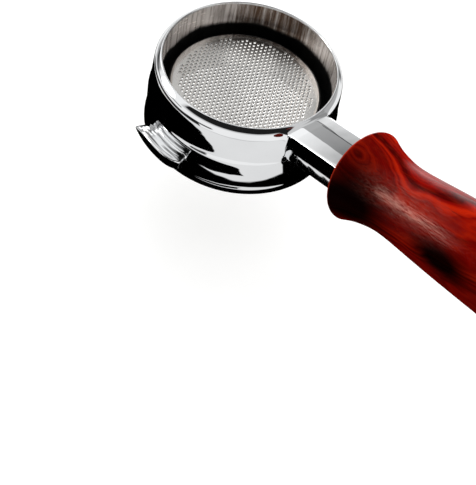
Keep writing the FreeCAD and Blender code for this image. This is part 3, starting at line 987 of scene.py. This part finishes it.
def plain_metal(name, bright, dark, roughness, grain):
    m = Material(name)
    cloud = m.grain((grain, grain, grain), 5.0)
    m.set(Base_Color=m.mix(m.remap(cloud, 0.35, 0.7), bright, dark), Metallic=1.0)
    m.set(Roughness=m.remap(cloud, 0.3, 0.75, roughness, roughness + 0.15))
    m.set(Normal=m.bump(cloud, 0.15, 0.1 * MM))
    return m.data


# ---- stage, light and camera ----
KEY_SIDE = (-0.48, -0.62, -0.62)
KEY_LIGHT = 3.0
TOP_LIGHT = 0.45
SOFT_LIGHT = 0.40
BACKDROP_LIGHT = 0.93
LAMP_SIDE = (-0.705, 0.658, -0.27)
LAMP_LIGHT = 9.0
WALL_LIGHT = 0.62             # of the mirrored studio's lower walls, and how much more higher up
UPPER_WALL_LIGHT = 0.28
CEILING = (0.62, 0.06, 0.02)  # sine of elevation, softness, brightness
BAR_LIGHT = 1.3
DOWNWARDS = -2.0              # below every direction's sine of elevation
# Panels in the mirrored studio: azimuth, half width and softness of the sides, lowest and highest sine of
# elevation and their softness, and how much brighter than the wall it is.
PANELS = (
    # dark gaps in the walls
    (-48, 9, 0.01, -0.25, 0.22, 0.06, 0.02), (-100, 7, 0.01, -0.25, 0.22, 0.06, 0.02),
    (88, 16, 0.01, 0.27, 0.45, 0.06, 0.02), (134, 46, 0.01, 0.30, 0.62, 0.06, 0.02),
    (145, 35, 0.01, -0.10, 0.0, 0.06, 0.02),
    # grey strip and dark line in the neck's lower facet, and the brighter wall beside them
    (-142.4, 3.5, 0.0004, -0.62, -0.25, 0.04, 0.68), (-138.6, 0.5, 0.00002, -0.50, -0.25, 0.04, 0.05),
    (-172, 26, 0.004, -0.62, -0.25, 0.04, 1.6),
    # dimmer walls
    (-178, 24, 0.02, -0.24, 0.14, 0.06, 0.42), (-84, 44, 0.02, -0.70, -0.03, 0.04, 0.45),
    # dark and bright ground
    (45, 66, 0.03, DOWNWARDS, -0.46, 0.05, 0.02), (150, 36, 0.03, DOWNWARDS, -0.30, 0.05, 1.5),
)
BAR = (-128, 26, 0.06, -0.17, 0.14, 0.05)
FLOOR_COLOUR = (0.90, 0.90, 0.89, 1.0)
FLOOR_SPECKS = ((0.43, 0.43, 0.43), (0.41, 0.41, 0.41))
FLOOR_LIGHT = 0.70
FLOOR_SIZE = 6.0
UPPER_GAP = 0.032             # clear of the lifted basket
LOWER_GAP = 0.0002


def add_stage(name, points, faces, material, hidden_from):
    mesh = bpy.data.meshes.new(name)
    mesh.from_pydata(points, [], faces)
    mesh.materials.append(material)
    piece = bpy.data.objects.new(name, mesh)
    bpy.context.scene.collection.objects.link(piece)
    for ray in hidden_from:
        setattr(piece, "visible_" + ray, False)


def one_sided_floor(name, height, faces_up):
    """Pale floor that is there only when seen from the side it faces."""
    m = Material(name)
    speck = m.grain((30, 30, 30), 4.0)
    m.set(Base_Color=m.mix(m.remap(speck, 0.3, 0.7), *FLOOR_SPECKS), Roughness=0.7)
    m.set(Emission_Color=FLOOR_COLOUR, Emission_Strength=FLOOR_LIGHT)
    clear = m.node("ShaderNodeBsdfTransparent").outputs[0]
    sides = {0: m.geometry("Backfacing"), 1: m.surface.outputs[0], 2: clear}
    m.replace_surface(m.node("ShaderNodeMixShader", sides))
    half = FLOOR_SIZE / 2
    corners = [(x * half, y * half, height) for x, y in ((-1, -1), (1, -1), (1, 1), (-1, 1))]
    face = (0, 1, 2, 3) if faces_up else (3, 2, 1, 0)
    add_stage(name, corners, [face], m.data, ("diffuse", "glossy", "transmission", "shadow"))


def direction(azimuth_deg):
    return (math.cos(math.radians(azimuth_deg)), math.sin(math.radians(azimuth_deg)), 0.0)


def build_world():
    """White to the camera, soft and a little one-sided to matt surfaces, and a studio of white walls
    with grey and dark panels to polished ones."""
    world = bpy.data.worlds.new("studio")
    bpy.context.scene.world = world
    w = Shading(world)
    ray = w.node("ShaderNodeTexCoord").outputs["Generated"]
    height = w.split(ray)["Z"]
    level_ray = w.vector_maths("NORMALIZE", w.flatten(ray))

    def panel(azimuth, half_width, side_softness, low, high, softness):
        edge = math.cos(math.radians(half_width))
        turned = w.step(w.dot(level_ray, direction(azimuth)), edge, side_softness)
        return w.product(turned, w.step(height, low, softness), w.step(height, high, -softness))

    def dimmed(value, share, factor):
        """The value times the factor where the share is 1, and the value itself where it is 0."""
        return w.product(value, w.total(1.0, w.product(share, factor - 1.0)))

    def squared(value):
        return w.maths("POWER", w.maths("MAXIMUM", value, 0.0), 2.0)

    studio = w.total(WALL_LIGHT, w.product(w.step(height, -0.30, 0.05), UPPER_WALL_LIGHT))
    for *place, factor in PANELS:
        studio = dimmed(studio, panel(*place), factor)
    studio = dimmed(studio, w.step(height, CEILING[0], CEILING[1]), CEILING[2])
    lamp = w.step(w.dot(ray, LAMP_SIDE), 0.982, 0.012)
    studio = w.total(studio, w.product(panel(*BAR), BAR_LIGHT), w.product(lamp, LAMP_LIGHT))
    key = w.product(squared(w.dot(ray, KEY_SIDE)), KEY_LIGHT)
    soft = w.total(key, w.product(squared(height), TOP_LIGHT), SOFT_LIGHT)
    path = w.node("ShaderNodeLightPath").outputs
    strength = w.choose(path["Is Glossy Ray"], soft, studio)
    strength = w.choose(path["Is Camera Ray"], strength, BACKDROP_LIGHT)
    w.put(w.nodes["Background"].inputs["Color"], WHITE)
    w.put(w.nodes["Background"].inputs["Strength"], strength)


CARD_HEIGHT_MM = 1.0
CARD_R_MM = (35.6, 70.0)
CARD_SIDES = 96
WINDOW_GLOW = 0.78
MOUTH_R_MM = 31.0
MOUTH_GLOW = (0.62, 2.3)      # usual, and along the line of sight through the perforations
DARK_DISCS_MM = (((-5.0, 25.0, 0.0), 41.0), ((-14.4, -9.0, 0.0), 58.4))
BRIGHT_R_MM = 43.6            # the first disc is dark only outside this radius and below this line
BRIGHT_ABOVE_MM = 22.0
SEAM_LEAN = 0.19              # slope of a bright strip that the ring mirrors beside the neck
SEAM_EDGES_MM = (18.6, 19.7)
SEAM_WIDENS_MM = (14.0, 34.0, 2.2)    # from one distance along X to another, and by how much
BESIDE_NECK_MM = 12.0


def card_glow(m):
    """How brightly the card glows from 0 to 1, and more than 1 behind the perforations."""
    incoming = m.geometry("Incoming")
    facing = m.split(incoming)
    place = m.flatten(m.geometry("Position"))
    x, y = (m.split(place)[axis] for axis in ("X", "Y"))
    radius = m.vector_maths("LENGTH", place)
    leaving = m.vector_maths("DOT_PRODUCT", incoming, m.vector_maths("NORMALIZE", place))

    def outside_disc(centre_mm, radius_mm):
        centre = tuple(c * MM for c in centre_mm)
        return m.step(m.vector_maths("DISTANCE", place, centre), radius_mm * MM, 0.3 * MM)

    first, foot = (outside_disc(*disc) for disc in DARK_DISCS_MM)
    near_rim = m.step(radius, BRIGHT_R_MM * MM, -0.1 * MM)
    near_rim = m.maths("MAXIMUM", near_rim, m.step(y, BRIGHT_ABOVE_MM * MM, -3.0 * MM))
    quadrant = m.maths("MAXIMUM", m.step(y, 4.0 * MM, 0.4 * MM), m.step(x, 0.0, -0.4 * MM))
    glow = m.product(m.maths("MAXIMUM", first, near_rim), foot, quadrant, m.step(leaving, -0.2, -0.03))
    lean = m.maths("SUBTRACT", y, m.product(x, SEAM_LEAN))
    start, end, wider = (value * MM for value in SEAM_WIDENS_MM)
    low, high = (value * MM for value in SEAM_EDGES_MM)
    seam = m.step(m.total(lean, m.remap(x, start, end, 0.0, wider)), low, 0.1 * MM)
    seam = m.product(seam, m.step(lean, high, -0.2 * MM))
    beside_neck = m.product(
        m.step(facing["X"], 0.25, 0.03), m.step(facing["Y"], -0.25, -0.03),
        m.step(x, BESIDE_NECK_MM * MM, 2.0 * MM))
    glow = m.product(glow, m.maths("SUBTRACT", 1.0, beside_neck))
    glow = m.maths("MAXIMUM", glow, m.product(seam, beside_neck))
    usual, seen_through = MOUTH_GLOW
    through_floor = m.product(m.step(facing["X"], -0.1, -0.1), m.step(facing["Y"], -0.1, -0.1))
    mouth = m.total(usual, m.product(through_floor, seen_through - usual))
    return m.maths("MAXIMUM", glow, m.product(m.step(radius, MOUTH_R_MM * MM, -1.0 * MM), mouth))


def build_card():
    """Glowing card just behind the rim, seen only in reflections: a pale window with dark discs, which
    the outside of the ring mirrors towards the viewer, and a disc over the basket's mouth."""
    m = Material("reflection_card")
    strength = m.product(card_glow(m), WINDOW_GLOW)
    m.replace_surface(m.node("ShaderNodeEmission", {"Color": WHITE, "Strength": strength}))
    points, faces = [], []
    for k in range(CARD_SIDES):
        c, s = direction(360 * k / CARD_SIDES)[:2]
        points += [(r * c * MM, r * s * MM, CARD_HEIGHT_MM * MM) for r in (*CARD_R_MM, MOUTH_R_MM)]
        n = (k + 1) % CARD_SIDES
        faces.append((3 * k, 3 * n, 3 * n + 1, 3 * k + 1))
    faces.append(tuple(3 * k + 2 for k in range(CARD_SIDES)))
    add_stage("reflection_card", points, faces, m.data, ("camera", "diffuse", "transmission", "shadow"))


CAMERA_MM = (217.5, 228.4, -326.6)
LOOK_AT_MM = (45.9, 35.5, -0.85)
CAMERA_ROLL = math.radians(-13.6)
LENS_MM = 89.07
SENSOR_MM = 36.0
CLIP = (0.01, 20.0)


def build_camera():
    """Looks up at the open bottom from the handle's side, with the ring's mouth away from the viewer."""
    camera = bpy.data.objects.new("camera", bpy.data.cameras.new("camera"))
    bpy.context.scene.collection.objects.link(camera)
    camera.data.lens = LENS_MM
    camera.data.sensor_width = SENSOR_MM
    camera.data.clip_start, camera.data.clip_end = CLIP
    forward = (Vector(LOOK_AT_MM) - Vector(CAMERA_MM)).normalized()
    down = Vector((0, 0, 1))
    level_top = (-down - forward * (-down).dot(forward)).normalized()
    level_right = forward.cross(level_top)
    c, s = math.cos(CAMERA_ROLL), math.sin(CAMERA_ROLL)
    top = level_top * c + level_right * s
    right = level_right * c - level_top * s
    turned = Matrix((right, top, -forward)).transposed().to_4x4()
    camera.matrix_world = Matrix.Translation(Vector(CAMERA_MM) * MM) @ turned
    bpy.context.scene.camera = camera


def dress_cad_nodes(materials):
    for node, material in materials.items():
        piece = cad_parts[node]
        piece.data.materials.clear()
        piece.data.materials.append(material)


build_holder(chrome_plate())
build_basket(basket_steel())
build_grip(rosewood())
build_stud(plain_metal("stud_steel", (0.62, 0.62, 0.64), (0.45, 0.45, 0.47), 0.22, 300))
spring_steel = plain_metal("spring_steel", (0.62, 0.62, 0.63), (0.48, 0.48, 0.50), 0.2, 500)
dress_cad_nodes({
    "threaded_insert": plain_metal("insert_brass", (0.80, 0.62, 0.30), (0.62, 0.44, 0.18), 0.2, 400),
    "basket_spring": spring_steel,
    "spring_washer": spring_steel,
})
lowest, highest = cad_box
one_sided_floor("floor_above", highest.z + UPPER_GAP, False)
one_sided_floor("floor_below", lowest.z - LOWER_GAP, True)
build_world()
build_card()
build_camera()
bpy.context.scene.view_settings.view_transform = "Standard"
